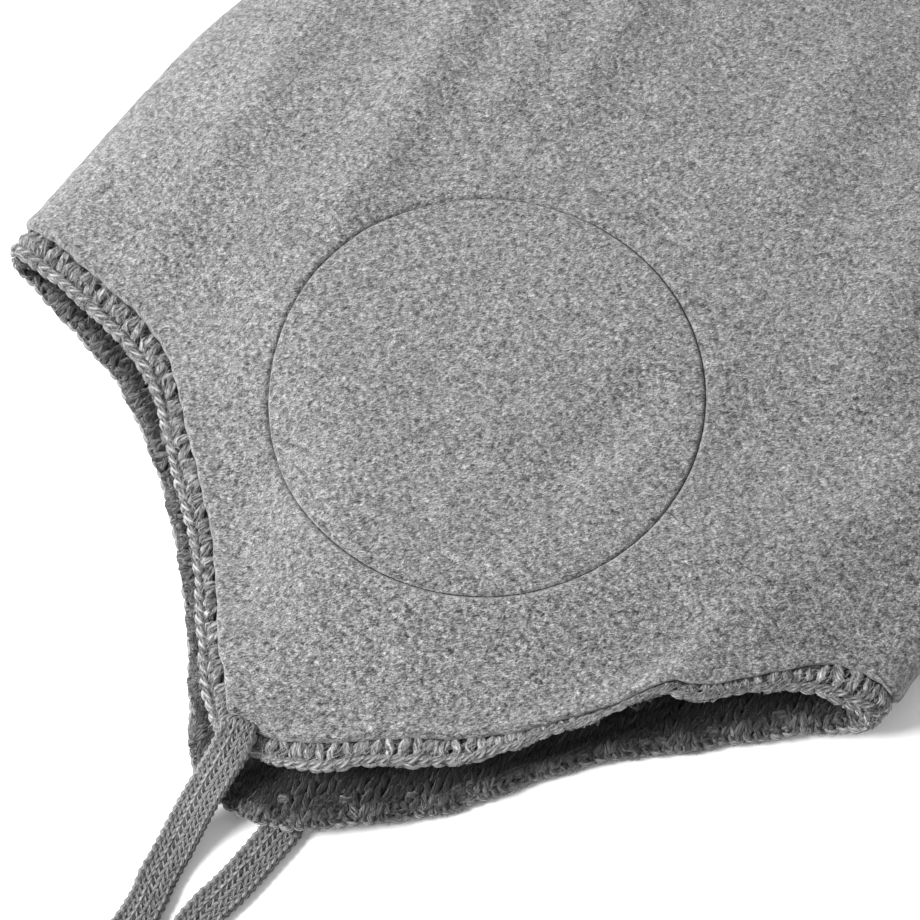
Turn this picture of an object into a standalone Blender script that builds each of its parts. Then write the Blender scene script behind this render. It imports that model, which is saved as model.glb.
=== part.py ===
# Baby hat with ear flaps, turned inside out and lying on its side.
# The fleece lining is outermost, the knit is inside it and turns out over the rim as a hem.
# +X is the back of the hat, +Y the crown, +Z up. Metres.
# Places are worked out from the middle of the ear, near the patch's own middle, and the
# whole is then moved so that the origin is under the middle of the hat, on the surface
# that it lies on.
import bpy
import bmesh
import math
from mathutils import Vector

# Driving sizes
FRONT_REACH = 0.1005
BACK_REACH = 0.0955
CROWN_REACH = 0.137
CROWN_START = 0.020
FLAP_REACH = 0.083
BODY_THICK = 0.027
FOLD_HEIGHT = 0.0095
PATCH_RADIUS = 0.0422
FLEECE_WALL = 0.0016
KNIT_WALL = 0.0028
HEM_WALL = 0.0014
HEM_WIDTH = 0.007
HEM_ROLL = 0.0024
FAR_HEM_ROLL = 0.0006
SAG_REACH = 0.050
TIE_WIDTH = 0.008
TIE_THICK = 0.0024
CLEARANCE = 0.0003
SEAM_GAP = 0.0014

# Shape of the sections, as pure numbers
OUTLINE_POWER = 2.2
SECTION_POWER = 3.2
CROWN_POWER = 4.0
LOWER_FLAT_SHARE = 1.15
BROW_TAPER_SHARE = 0.02

# The patch's middle, from the middle of the ear, as shares of PATCH_RADIUS
PATCH_SHIFT_SHARES = (-0.0265, 0.0265)

# Mesh of the shells and ties
COLUMNS_EACH_SIDE = 26
HEM_ROWS = 2
BODY_ROWS = 17
TIE_POINTS = 27
PATCH_SIDES = 40

# Where the rim runs. across: share of the reach to the front (-) or back (+).
# near_drop, far_drop: how far below the middle of the ear, as shares of FLAP_REACH.
# near_lift: how high the near rim lies, as a share of the upper side's own height there.
# hem: the hem's width, as a share of HEM_WIDTH.
RIM = (
    # across, near_drop, far_drop, near_lift, hem
    (-1.00, 0.337, 0.337, 0.70, 0.80),
    (-0.85, 0.350, 0.362, 0.55, 0.80),
    (-0.70, 0.373, 0.398, 0.48, 0.85),
    (-0.58, 0.422, 0.462, 0.46, 0.90),
    (-0.46, 0.530, 0.552, 0.46, 0.85),
    (-0.28, 0.700, 0.735, 0.48, 0.85),
    (-0.17, 0.843, 0.878, 0.50, 0.90),
    (-0.08, 0.952, 1.000, 0.51, 0.90),
    (0.00, 1.000, 1.076, 0.51, 0.52),
    (0.09, 0.988, 1.090, 0.51, 0.56),
    (0.20, 0.935, 1.056, 0.52, 0.86),
    (0.28, 0.855, 0.978, 0.55, 0.90),
    (0.43, 0.722, 0.788, 0.60, 0.88),
    (0.53, 0.562, 0.600, 0.72, 0.52),
    (0.60, 0.443, 0.478, 0.84, 0.38),
    (0.66, 0.329, 0.400, 0.96, 0.32),
    (0.71, 0.300, 0.346, 0.88, 0.48),
    (0.80, 0.176, 0.236, 0.75, 0.60),
    (0.90, 0.085, 0.125, 0.72, 0.95),
    (1.00, 0.048, 0.048, 0.75, 0.90),
)

# Height of the upper side along the hat. up: share of CROWN_REACH. top: share of BODY_THICK.
TOP = (
    # up, top
    (-0.70, 0.82),
    (-0.30, 0.94),
    (0.00, 1.00),
    (0.35, 0.97),
    (0.70, 0.88),
    (1.00, 0.78),
)

# Soft folds (rise above 0) and dents (below 0) of the upper side, each along a straight line.
# Places are shares of FRONT_REACH across and CROWN_REACH up; width and rise of BODY_THICK.
FOLDS = (
    # across_1, up_1, across_2, up_2, width, rise
    (-0.72, -0.10, -0.82, 0.36, 0.22, 0.060),
    (-0.48, 0.12, -0.57, 0.52, 0.24, 0.070),
    (-0.38, 0.40, -0.44, 0.58, 0.20, 0.050),
    (-0.28, 0.48, -0.33, 0.68, 0.24, 0.060),
    (0.16, 0.55, 0.12, 0.80, 0.30, 0.050),
    (0.52, 0.36, 0.42, 0.66, 0.32, 0.055),
    (0.76, -0.02, 0.72, 0.34, 0.28, 0.045),
    (0.21, -0.05, 0.24, 0.14, 0.22, -0.045),
    (-0.13, -0.38, -0.25, -0.28, 0.28, -0.045),
    (0.46, 0.18, 0.50, 0.26, 0.45, -0.060),
)

# Routes of the ties' middle lines, chosen by hand, in metres from the middle of the ear.
UPPER_TIE_ROUTE = (
    (0.0030, -0.0786, 0.0182),
    (0.0036, -0.0816, 0.0174),
    (0.0040, -0.0850, 0.0154),
    (0.0038, -0.0893, 0.0116),
    (0.0036, -0.0933, 0.0078),
    (0.0038, -0.0977, 0.0043),
    (0.0044, -0.1022, 0.0023),
    (0.0052, -0.1072, 0.0017),
    (0.0074, -0.1165, 0.0017),
    (0.0082, -0.1390, 0.0017),
    (0.0045, -0.1650, 0.0017),
    (-0.0010, -0.1900, 0.0017),
    (-0.0050, -0.2150, 0.0017),
    (-0.0055, -0.2420, 0.0017),
    (-0.0040, -0.2720, 0.0017),
)
LOWER_TIE_ROUTE = (
    (0.0177, -0.0832, 0.0016),
    (0.0178, -0.0870, 0.0016),
    (0.0177, -0.0936, 0.0016),
    (0.0174, -0.1007, 0.0016),
    (0.0166, -0.1096, 0.0016),
    (0.0182, -0.1270, 0.0016),
    (0.0222, -0.1450, 0.0016),
    (0.0268, -0.1700, 0.0016),
    (0.0290, -0.1950, 0.0016),
    (0.0285, -0.2200, 0.0016),
    (0.0265, -0.2460, 0.0016),
    (0.0250, -0.2818, 0.0016),
)

# Where the tie under the far flap's tip lifts it off the surface, as shares of BACK_REACH
# and FLAP_REACH, and how wide the lift is
TIE_LIFT_SHARES = (0.194, -1.024)
TIE_LIFT_WIDTH = 0.022

FLEECE_GREY = (0.30, 0.30, 0.30, 1.0)
KNIT_GREY = (0.16, 0.16, 0.16, 1.0)
TIE_GREY = (0.27, 0.27, 0.27, 1.0)
CLOTH_ROUGHNESS = 0.95


# Tables and sections

def smooth_value(table, column, place):
    """Value of a table's column at a place along its first column, without overshoot."""
    places = [row[0] for row in table]
    values = [row[column] for row in table]
    if place <= places[0]:
        return values[0]
    if place >= places[-1]:
        return values[-1]
    steps = [b - a for a, b in zip(places, places[1:])]
    slopes = [(b - a) / step for a, b, step in zip(values, values[1:], steps)]
    bends = [slopes[0]]
    for before, after in zip(slopes, slopes[1:]):
        flat = before * after <= 0
        bends.append(0.0 if flat else 2 * before * after / (before + after))
    bends.append(slopes[-1])
    k = max(i for i in range(len(steps)) if places[i] <= place)
    t = (place - places[k]) / steps[k]
    start = values[k] * (1 + 2 * t) * (1 - t) ** 2 + bends[k] * steps[k] * t * (1 - t) ** 2
    end = values[k + 1] * t * t * (3 - 2 * t) - bends[k + 1] * steps[k] * t * t * (1 - t)
    return start + end


def crown_share(up):
    """0 up to where the outline starts to round in, and 1 at the crown's end."""
    return min(1.0, max(0.0, (up - CROWN_START) / (CROWN_REACH - CROWN_START)))


def across_at(share, up):
    """Distance to the back of the middle of the ear, for a share of the half width."""
    reach = FRONT_REACH if share < 0 else BACK_REACH
    rounding = (1 - crown_share(up) ** OUTLINE_POWER) ** (1 / OUTLINE_POWER)
    below = max(0.0, (CROWN_START - up) / FLAP_REACH)
    return reach * share * rounding * (1 - BROW_TAPER_SHARE * below * below)


def section_share(share):
    """Height of the section above its fold, 0 at the folds and 1 in the middle."""
    return max(0.0, 1 - abs(share) ** SECTION_POWER) ** (1 / SECTION_POWER)


def crown_height_share(up):
    return (1 - crown_share(up) ** CROWN_POWER) ** (1 / CROWN_POWER)


def ring_shares():
    """Shares of the half width, evenly spaced along the upper side from front to back."""
    fine = 400
    aspect = (BODY_THICK - FOLD_HEIGHT) / FRONT_REACH
    angles = [math.pi * i / fine for i in range(fine + 1)]
    points = [(-math.cos(a), aspect * section_share(math.cos(a))) for a in angles]
    lengths = [0.0]
    for a, b in zip(points, points[1:]):
        lengths.append(lengths[-1] + math.dist(a, b))
    shares = []
    for i in range(COLUMNS_EACH_SIDE + 1):
        wanted = lengths[-1] * i / COLUMNS_EACH_SIDE
        k = max(j for j in range(fine) if lengths[j] <= wanted or j == 0)
        part = (wanted - lengths[k]) / (lengths[k + 1] - lengths[k])
        shares.append(points[k][0] + part * (points[k + 1][0] - points[k][0]))
    return shares


def fold_rise(across, up):
    """Height that the soft folds and dents add to the upper side."""
    rise = 0.0
    here = Vector((across, up))
    for across_1, up_1, across_2, up_2, width, height in FOLDS:
        start = Vector((across_1 * FRONT_REACH, up_1 * CROWN_REACH))
        run = Vector((across_2 * FRONT_REACH, up_2 * CROWN_REACH)) - start
        along = max(0.0, min(1.0, (here - start).dot(run) / run.length_squared))
        away = (here - start - run * along).length / (width * BODY_THICK)
        rise += height * BODY_THICK * math.exp(-away * away)
    return rise


def rim_up(share, near):
    return -FLAP_REACH * smooth_value(RIM, 1 if near else 2, share)


def hem_rise(share):
    """Width of the hem, measured up the hat."""
    return HEM_WIDTH * smooth_value(RIM, 4, share)


def point_on_side(share, up, near, above_rim):
    """A point of the lining's outer face, on the upper (near) or lower side."""
    across = across_at(share, up)
    height_share = section_share(share) * crown_height_share(up)
    roll = max(0.0, 1 - above_rim / HEM_WIDTH) ** 2 * section_share(share)
    if near:
        top = BODY_THICK * smooth_value(TOP, 1, up / CROWN_REACH) - FOLD_HEIGHT
        sag = 0.5 + 0.5 * math.cos(math.pi * min(1.0, above_rim / SAG_REACH))
        rise = top * height_share * (1 - sag * (1 - smooth_value(RIM, 3, share)))
        rise += fold_rise(across, up) * height_share
        return Vector((across, up, FOLD_HEIGHT + rise - HEM_ROLL * roll))
    flat = min(1.0, LOWER_FLAT_SHARE * height_share)
    lift_across, lift_up = TIE_LIFT_SHARES
    away = math.dist((across, up), (lift_across * BACK_REACH, lift_up * FLAP_REACH)) / TIE_LIFT_WIDTH
    tie_room = (TIE_THICK + 2 * CLEARANCE) * math.exp(-away ** 4)
    return Vector((across, up, FOLD_HEIGHT * (1 - flat) + tie_room + FAR_HEM_ROLL * roll))


# Meshes

def column_points(share, near):
    """Points from the rim to just below the crown: hem rows first, then the body's."""
    start = rim_up(share, near)
    hem = hem_rise(share)
    rises = [hem * i / HEM_ROWS for i in range(HEM_ROWS + 1)]
    body = hem + SEAM_GAP
    rest = CROWN_REACH - start - body
    for i in range(BODY_ROWS):
        rises.append(body + rest * math.sin(math.pi / 2 * i / BODY_ROWS))
    return [point_on_side(share, start + rise, near, rise) for rise in rises]


def shell_grid():
    """Columns of points round the hat: the upper side to the back, the lower one back again."""
    shares = ring_shares()
    upper = [column_points(share, True) for share in shares]
    lower = [column_points(share, False) for share in reversed(shares[1:-1])]
    return upper + lower


def sheet_mesh(name, columns, first_row, last_row, crown):
    """Open sheet through some rows of the grid, closed at the crown where wanted."""
    sheet = bmesh.new()
    verts = [[sheet.verts.new(p) for p in column[first_row:last_row + 1]] for column in columns]
    top = sheet.verts.new((0.0, CROWN_REACH, FOLD_HEIGHT)) if crown else None
    for left, right in zip(verts, verts[1:] + verts[:1]):
        for row in range(len(left) - 1):
            sheet.faces.new((left[row], right[row], right[row + 1], left[row + 1]))
        if top:
            sheet.faces.new((left[-1], right[-1], top))
    mesh = bpy.data.meshes.new(name)
    sheet.to_mesh(mesh)
    sheet.free()
    mesh.shade_smooth()
    return mesh


def cloth_material(name, colour):
    material = bpy.data.materials.new(name)
    material.use_nodes = True
    shader = material.node_tree.nodes["Principled BSDF"]
    shader.inputs["Base Color"].default_value = colour
    shader.inputs["Roughness"].default_value = CLOTH_ROUGHNESS
    shader.inputs["Metallic"].default_value = 0.0
    return material


def place(name, data, colour, collection, origin):
    piece = bpy.data.objects.new(name, data)
    data.materials.append(cloth_material(name, colour))
    collection.objects.link(piece)
    piece.parent = origin
    return piece


def thicken(piece, wall, depth):
    """Wall of a given thickness that starts at a depth under the sheet, on its inner side."""
    shell = piece.modifiers.new("wall", "SOLIDIFY")
    shell.thickness = wall
    shell.offset = -1 - 2 * depth / wall
    shell.use_even_offset = False
    return shell


def cut(piece, cutter, operation):
    boolean = piece.modifiers.new("patch_hole", "BOOLEAN")
    boolean.operation = operation
    boolean.object = cutter
    boolean.solver = "EXACT"


def patch_cutter(name, radius, upper, collection, origin):
    """Upright disc through the upper or the lower side only."""
    depth = BODY_THICK * 2
    middle = FOLD_HEIGHT + depth / 2 if upper else FOLD_HEIGHT - depth / 2
    disc = bmesh.new()
    bmesh.ops.create_cone(disc, cap_ends=True, segments=PATCH_SIDES, radius1=radius,
                          radius2=radius, depth=depth)
    mesh = bpy.data.meshes.new(name)
    disc.to_mesh(mesh)
    disc.free()
    cutter = bpy.data.objects.new(name, mesh)
    cutter.location = (*(PATCH_RADIUS * share for share in PATCH_SHIFT_SHARES), middle)
    cutter.hide_render = True
    cutter.display_type = "WIRE"
    collection.objects.link(cutter)
    cutter.parent = origin
    return cutter


def smooth_route(route, count):
    """Evenly spaced points on a smooth curve through the route's points."""
    places = [Vector(p) for p in route]
    ends = [2 * places[0] - places[1]] + places + [2 * places[-1] - places[-2]]
    fine = []
    for a, b, c, d in zip(ends, ends[1:], ends[2:], ends[3:]):
        for i in range(20):
            t = i / 20
            fine.append(0.5 * (2 * b + (c - a) * t + (2 * a - 5 * b + 4 * c - d) * t ** 2
                               + (3 * b - 3 * c + d - a) * t ** 3))
    fine.append(places[-1])
    lengths = [0.0]
    for a, b in zip(fine, fine[1:]):
        lengths.append(lengths[-1] + (b - a).length)
    points = []
    k = 0
    for i in range(count):
        wanted = lengths[-1] * i / (count - 1)
        while k < len(fine) - 2 and lengths[k + 1] < wanted:
            k += 1
        points.append(fine[k].lerp(fine[k + 1], (wanted - lengths[k]) / (lengths[k + 1] - lengths[k])))
    return points


def flat_tie(name, route):
    """Flat knitted cord: a rounded strip along its route."""
    curve = bpy.data.curves.new(name, "CURVE")
    curve.dimensions = "3D"
    curve.twist_mode = "Z_UP"
    curve.bevel_depth = TIE_THICK / 2
    curve.extrude = TIE_WIDTH / 2 - TIE_THICK / 2
    curve.bevel_resolution = 2
    curve.use_fill_caps = True
    points = smooth_route(route, TIE_POINTS)
    spline = curve.splines.new("POLY")
    spline.points.add(len(points) - 1)
    for target, point in zip(spline.points, points):
        target.co = (*point, 1.0)
        target.tilt = math.pi / 2
    spline.use_smooth = True
    return curve


def origin_shift(columns):
    """Moves the middle of the hat's box, ties left out, over the origin."""
    points = [p for column in columns for p in column] + [Vector((0.0, CROWN_REACH, FOLD_HEIGHT))]
    across = [p.x for p in points]
    up = [p.y for p in points]
    lowest = min(p.z for p in points)
    return Vector((-(min(across) + max(across)) / 2, -(min(up) + max(up)) / 2, -lowest))


def build_hat():
    hat = bpy.data.collections.new("baby_hat")
    cutters = bpy.data.collections.new("cutters")
    for collection in (hat, cutters):
        bpy.context.scene.collection.children.link(collection)

    columns = shell_grid()
    origin = bpy.data.objects.new("hat_origin", None)
    origin.location = origin_shift(columns)
    hat.objects.link(origin)

    last_row = HEM_ROWS + BODY_ROWS
    fleece_sheet = sheet_mesh("fleece_lining", columns, HEM_ROWS + 1, last_row, True)
    fleece = place("fleece_lining", fleece_sheet, FLEECE_GREY, hat, origin)
    thicken(fleece, FLEECE_WALL, 0.0)

    for side in ("upper", "lower"):
        upper = side == "upper"
        hole = patch_cutter("hole_" + side, PATCH_RADIUS, upper, cutters, origin)
        cut(fleece, hole, "DIFFERENCE")
        disc = patch_cutter("disc_" + side, PATCH_RADIUS - CLEARANCE, upper, cutters, origin)
        patch = place("ear_patch_" + side, fleece_sheet.copy(), FLEECE_GREY, hat, origin)
        thicken(patch, FLEECE_WALL, 0.0)
        cut(patch, disc, "INTERSECT")

    knit_sheet = sheet_mesh("knit_shell", columns, 0, last_row, True)
    knit = place("knit_shell", knit_sheet, KNIT_GREY, hat, origin)
    thicken(knit, KNIT_WALL, FLEECE_WALL + CLEARANCE)

    hem_sheet = sheet_mesh("knit_hem", columns, 0, HEM_ROWS, False)
    hem = place("knit_hem", hem_sheet, KNIT_GREY, hat, origin)
    thicken(hem, HEM_WALL, 0.0)

    place("tie_upper", flat_tie("tie_upper", UPPER_TIE_ROUTE), TIE_GREY, hat, origin)
    place("tie_lower", flat_tie("tie_lower", LOWER_TIE_ROUTE), TIE_GREY, hat, origin)


for old in list(bpy.data.objects):
    bpy.data.objects.remove(old, do_unlink=True)
build_hat()
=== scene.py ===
import math

import bpy
import numpy as np
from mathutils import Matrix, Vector, noise


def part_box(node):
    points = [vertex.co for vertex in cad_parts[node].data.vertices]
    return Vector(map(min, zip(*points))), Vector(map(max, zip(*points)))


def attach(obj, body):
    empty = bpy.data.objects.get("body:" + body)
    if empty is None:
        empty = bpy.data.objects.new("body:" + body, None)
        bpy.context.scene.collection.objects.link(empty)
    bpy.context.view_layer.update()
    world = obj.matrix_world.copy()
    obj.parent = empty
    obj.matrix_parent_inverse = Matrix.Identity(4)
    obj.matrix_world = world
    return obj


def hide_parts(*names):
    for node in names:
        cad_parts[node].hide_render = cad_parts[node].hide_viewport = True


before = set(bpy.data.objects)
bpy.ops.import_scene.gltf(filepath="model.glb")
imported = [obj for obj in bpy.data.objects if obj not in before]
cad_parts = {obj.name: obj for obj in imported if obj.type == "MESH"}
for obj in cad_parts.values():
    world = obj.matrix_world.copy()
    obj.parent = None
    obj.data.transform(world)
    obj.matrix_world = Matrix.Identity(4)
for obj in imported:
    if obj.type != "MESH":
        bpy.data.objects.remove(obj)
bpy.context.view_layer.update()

# Named sizes of the hat, in metres, measured from the middle of the ear
FRONT_REACH = 0.1005
BACK_REACH = 0.0955
CROWN_REACH = 0.137
CROWN_START = 0.020
FLAP_REACH = 0.083
BODY_THICK = 0.027
FOLD_HEIGHT = 0.0095
PATCH_RADIUS = 0.0422
FLEECE_WALL = 0.0016
KNIT_WALL = 0.0028
LAYER_GAP = 0.0003
HEM_WIDTH = 0.007
HEM_ROLL = 0.0024
FAR_HEM_ROLL = 0.0006
SAG_REACH = 0.050
SEAM_GAP = 0.0014
TIE_WIDTH = 0.008
TIE_THICK = 0.0024
WALL = FLEECE_WALL + LAYER_GAP + KNIT_WALL

OUTLINE_POWER = 2.2
SECTION_POWER = 3.2
CROWN_POWER = 4.0
LOWER_FLATNESS = 1.15
BROW_TAPER = 0.02
PATCH_SHIFT = (-0.0265 * PATCH_RADIUS, 0.0265 * PATCH_RADIUS)

# The middle of the ear in the frame, from the patch's own middle: all is placed from it
low_corner, high_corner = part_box("ear_patch_upper")
EAR_MIDDLE = ((low_corner + high_corner) / 2).to_2d() - Vector(PATCH_SHIFT)

# Where the rim runs: share of the reach across, drops of the near and the far rim as shares
# of FLAP_REACH, height of the near rim as a share of the body's, hem width as a share.
RIM = np.array((
    # across, near_drop, far_drop, near_lift, hem
    (-1.00, 0.337, 0.337, 0.70, 0.80),
    (-0.85, 0.350, 0.362, 0.55, 0.80),
    (-0.70, 0.373, 0.398, 0.48, 0.85),
    (-0.58, 0.422, 0.462, 0.46, 0.90),
    (-0.46, 0.530, 0.552, 0.46, 0.85),
    (-0.28, 0.700, 0.735, 0.48, 0.85),
    (-0.17, 0.843, 0.878, 0.50, 0.90),
    (-0.08, 0.952, 1.000, 0.51, 0.90),
    (0.00, 1.000, 1.076, 0.51, 0.52),
    (0.09, 0.988, 1.090, 0.51, 0.56),
    (0.20, 0.935, 1.056, 0.52, 0.86),
    (0.28, 0.855, 0.978, 0.55, 0.90),
    (0.43, 0.722, 0.788, 0.60, 0.88),
    (0.53, 0.562, 0.600, 0.72, 0.52),
    (0.60, 0.443, 0.478, 0.84, 0.38),
    (0.66, 0.329, 0.400, 0.96, 0.32),
    (0.71, 0.300, 0.346, 0.88, 0.48),
    (0.80, 0.176, 0.236, 0.75, 0.60),
    (0.90, 0.085, 0.125, 0.72, 0.95),
    (1.00, 0.048, 0.048, 0.75, 0.90),
))
TOP = np.array((
    # up as a share of CROWN_REACH, height of the upper side as a share of BODY_THICK
    (-0.70, 0.82),
    (-0.30, 0.94),
    (0.00, 1.00),
    (0.35, 0.97),
    (0.70, 0.88),
    (1.00, 0.78),
))
# Soft folds and dents of the upper side, each along a line
FOLDS = (
    # across_1, up_1, across_2, up_2, width, rise
    (-0.72, -0.10, -0.82, 0.36, 0.22, 0.060),
    (-0.48, 0.12, -0.57, 0.52, 0.24, 0.070),
    (-0.38, 0.40, -0.44, 0.58, 0.20, 0.050),
    (-0.28, 0.48, -0.33, 0.68, 0.24, 0.060),
    (0.16, 0.55, 0.12, 0.80, 0.30, 0.050),
    (0.52, 0.36, 0.42, 0.66, 0.32, 0.055),
    (0.76, -0.02, 0.72, 0.34, 0.28, 0.045),
    (0.21, -0.05, 0.24, 0.14, 0.22, -0.045),
    (-0.13, -0.38, -0.25, -0.28, 0.28, -0.045),
    (0.46, 0.18, 0.50, 0.26, 0.45, -0.060),
)
TIE_LIFT_PLACE = (0.194 * BACK_REACH, -1.024 * FLAP_REACH)
TIE_LIFT_WIDTH = 0.022

# The ties' middle lines, from the middle of the ear
UPPER_TIE_ROUTE = (
    (0.0030, -0.0786, 0.0182),
    (0.0036, -0.0816, 0.0174),
    (0.0040, -0.0850, 0.0154),
    (0.0038, -0.0893, 0.0116),
    (0.0036, -0.0933, 0.0078),
    (0.0038, -0.0977, 0.0043),
    (0.0044, -0.1022, 0.0023),
    (0.0052, -0.1072, 0.0017),
    (0.0074, -0.1165, 0.0017),
    (0.0082, -0.1390, 0.0017),
    (0.0045, -0.1650, 0.0017),
    (-0.0010, -0.1900, 0.0017),
    (-0.0050, -0.2150, 0.0017),
    (-0.0055, -0.2420, 0.0017),
    (-0.0040, -0.2720, 0.0017),
)
LOWER_TIE_ROUTE = (
    (0.0177, -0.0832, 0.0016),
    (0.0178, -0.0870, 0.0016),
    (0.0177, -0.0936, 0.0016),
    (0.0174, -0.1007, 0.0016),
    (0.0166, -0.1096, 0.0016),
    (0.0182, -0.1270, 0.0016),
    (0.0222, -0.1450, 0.0016),
    (0.0268, -0.1700, 0.0016),
    (0.0290, -0.1950, 0.0016),
    (0.0285, -0.2200, 0.0016),
    (0.0265, -0.2460, 0.0016),
    (0.0250, -0.2818, 0.0016),
)

# Camera: turned about the hat's own axes as in the photograph
VIEW_TURN = math.radians(38)
VIEW_RISE = math.radians(65)
VIEW_DISTANCE = 0.8
VIEW_RIGHT = np.array((math.cos(VIEW_TURN), math.sin(VIEW_TURN), 0.0))
VIEW_AWAY = np.array((-math.sin(VIEW_TURN), math.cos(VIEW_TURN), 0.0))
UPWARD = np.array((0.0, 0.0, 1.0))
FIELD_WIDTH = 0.1748
AIM = (0.0041, -0.0136, 0.027)
SENSOR = 36.0

SEED = 7

# Yarn and stitches of the knit
WALE = 0.0034
BAND_WALE = 0.0043
COURSE = 0.0029
YARN_RADIUS = 0.00090
BAND_YARN = 0.00116
YARN_SIDES = 5
STITCH_SAMPLES = 9
STITCH_LEAN = 0.27
BAND_LEAN = 0.20
BAND_PLACE = 0.25
BAND_REACH = 0.34
RIM_STEP = 0.0004
SPINDLE = 0.22
STITCH_REACH = 0.95
STITCH_DEPTH = 0.00075
PLACE_JITTER = 0.00009
LIFT_JITTER = 0.00010
REACH_JITTER = 0.06
YARN_JITTER = 0.05
FULL_REACH = 0.0025
LEAST_YARN = 0.6

# Openwork: eyelets in rows, stitches bunched between them and tucked under the fleece's edge
PATTERN_REPEAT = 0.0122
SWAY = 0.0005
SWAY_RUN = 0.004
BUNCH_SWELL = 0.00040
BUNCH_RUN = 0.0035
BUNCH_BEND = 0.9
EYELET_ROWS = (-0.0046, 0.0042, 0.0115)
EYELET_REACH = 0.0019
EYELET_PULL = 0.0005
EYELET_SINK = 0.0006
EDGE_TUCK = 0.0008
EDGE_TUCK_REACH = 0.0012

# Chain of slanted legs along the rim
CHAIN_PITCH = 0.0026
CHAIN_LENGTH = 0.0038
CHAIN_HALF = 0.0022
CHAIN_INSET = 0.0025
CHAIN_SINK = 0.0011
CHAIN_YARN = 0.00086
CHAIN_BAND = 0.0100
CHAIN_SAMPLES = 13
CHAIN_LEAST = 0.45
CHAIN_CURVE = 0.7
CHAIN_END = 0.6
CHAIN_JITTER = 0.00015
CHAIN_HALF_JITTER = 0.10
CHAIN_YARN_JITTER = 0.08

# Ties
TIE_WALES = 11
TIE_COURSE = 0.00165
TIE_REACH = 0.86
TIE_LEAN = 0.37
TIE_YARN_RADIUS = 0.00047
TIE_DEPTH = 0.00042
TIE_SAMPLES = 8
TIE_SIDES = 5
TIE_JITTER = 0.00005
TIE_PLACE_JITTER = 0.03
TIE_LIFT_JITTER = 0.00003
TIE_END_SHARE = 0.32
TIE_END_STEP = 0.22
TIE_CORE_SINK = 0.00095
TIE_CORE_ROWS = 120
TIE_CORE_SIDES = 16
ROOT_DIP = 0.0010
ROOT_DIP_REACH = 0.0022
ROUTE_STEPS = 20
ROUTE_POINTS = 400
CORD_POINTS = 60

# Loose fibres on the yarn; each takes its shade from a place in FIBRE_SHADES mm of yarn
FIBRE_LENGTH = (0.0010, 0.0030)
FIBRE_RADIUS = 0.000042
FIBRE_END = 0.4
FIBRE_RISE = (-0.0003, 0.0001)
FIBRE_TUCK = 0.0004
FIBRE_STRAY = 0.65
FIBRE_BEND = 0.00025
FIBRE_SHADES = 400.0
BAND_FIBRES = 8000
INNER_FIBRES = 6000
BAND_FIBRE_START = 0.10
BAND_FIBRE_INSET = 0.0018
INNER_FIBRE_PLACE = (0.0026, 0.0090)

# Knit round the rim and inside
INNER_DEPTH = 0.0220
INNER_COURSES = 6
# Courses from this one inward take the darkest copy of the yarn: painted shade deep in the mouth
DEEP_SHADE_COURSE = 2
SQUARE_REACH = 0.010
SQUARE_SMOOTH = 0.008
RIM_SAMPLES = 800
FACE_ROWS = 40
TURN_ROWS = 24
WRAP_ROWS = 60
BACKING_DEPTH = 0.0022
BAND_BACKING = 0.003
BAND_BACKING_ROWS = 9
INNER_BACKING = 0.0015
INNER_BACKING_ROWS = 12
INSIDE_COLUMNS = 260
INSIDE_ROWS = 40
INSIDE_TOP = 0.999
INSIDE_OVERLAP = 0.006
INSIDE_SINK = 0.0012
INSIDE_LIFT = 0.0017

# Fleece
EDGE_RAYS = 390
FOLD_RAYS = 250
UPPER_ROWS = 94
LOWER_ROWS = 15
UPPER_PATCH = (76, 420)
LOWER_PATCH = (24, 180)
ARC_SAMPLES = 400
EDGE_SAMPLES = 500
FOLD_SAMPLES = 300
CROWN_END = CROWN_REACH * (1 - 1e-7)
CUT_STEP = 0.01
NORMAL_STEP = 0.004
NORMAL_RISE = 0.0003
SEAM_STEPS = (0.0, 0.00025, 0.0005, 0.0008, 0.0012, 0.0017, 0.0024)
EDGE_STEPS = (0.0, 0.0002, 0.0005, 0.0009, 0.0014)
SEAM_DEPTH = 0.0008
SEAM_HALF = 0.00030
PATCH_CLEAR = 0.0001
PATCH_PUFF = 0.00015
PATCH_PUFF_REACH = 0.0035
EDGE_ROUND = 0.0009
EDGE_PUFF = 0.00035
EDGE_PUFF_REACH = 0.0022
EDGE_WOBBLE = 0.00013
EDGE_WAVES = ((61, 0), (143, 1), (29, 2))
CLOTH_WAVES = (
    # height, wavelength, seed
    (0.00030, 0.024, 3.0),
    (0.00014, 0.0055, 11.0),
    (0.00010, 0.0019, 23.0),
)

# Looks: all is grey, each brightness a share of white
TINT = (1.0, 1.0, 1.0)
FLEECE_GREYS = (0.015, 0.335)
GRAIN_CONTRAST = (0.10, 1.90)
CLOUD_CONTRAST = (0.93, 1.07)
HEATHER_CONTRAST = (0.75, 1.25)
# Brightness of the yarn's sides against its front: painted shade where stitches press together
YARN_SIDE_SHADE = 0.30
# Turn in degrees, length and width of the fleece's flat fibres, steep fibres and fine grain
FLAT_FIBRES = (8, 0.0014, 0.00036)
STEEP_FIBRES = (48, 0.0010, 0.00032)
GRAIN_FIBRES = (8, 0.00075, 0.00025)
# How far the fibres stray, and the scales of all noises in waves a metre
FIBRE_WAVER = 0.0010
FIBRE_WAVER_SCALE = 700.0
TUFT_SCALE = 900
CLOUD_SCALE = 70
HEATHER_SCALE = 420
SHEET_FIBRE_SCALE = 1400
FLOOR_SCALE = 40
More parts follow.
